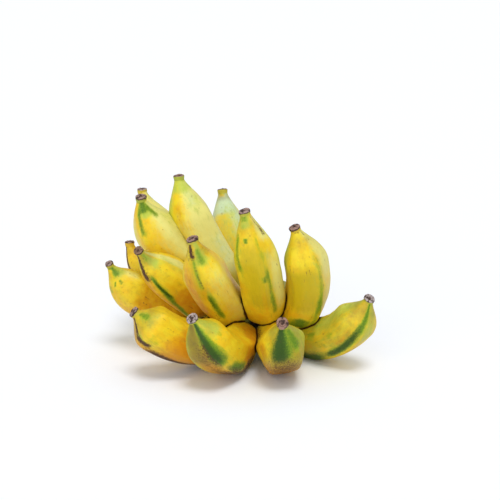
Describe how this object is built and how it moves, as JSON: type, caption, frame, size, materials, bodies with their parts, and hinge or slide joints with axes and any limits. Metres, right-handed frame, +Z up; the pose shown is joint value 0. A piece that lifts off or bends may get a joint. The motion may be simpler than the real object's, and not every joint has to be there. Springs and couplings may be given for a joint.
{
  "type": "hand of bananas",
  "caption": "Hand of short, plump, ripening bananas fanned out from a cut crown, lying as picked.",
  "frame": {"origin": "middle of the underside of the whole hand, on the surface that it lies on", "axes": "+X across the fan of fingers, -Y towards a viewer who looks at their tips, +Z up"},
  "size_m": [0.2384, 0.202, 0.1607],
  "materials": {
    "peel": "satin",
    "crown": "matte"
  },
  "bodies": {
    "root": {"crown": "crown", "finger_01": "peel", "finger_02": "peel", "finger_03": "peel", "finger_04": "peel", "finger_05": "peel", "finger_06": "peel", "finger_07": "peel", "finger_08": "peel", "finger_09": "peel", "finger_10": "peel", "finger_11": "peel", "finger_12": "peel", "finger_13": "peel", "finger_14": "peel"}
  },
  "joints": []
}
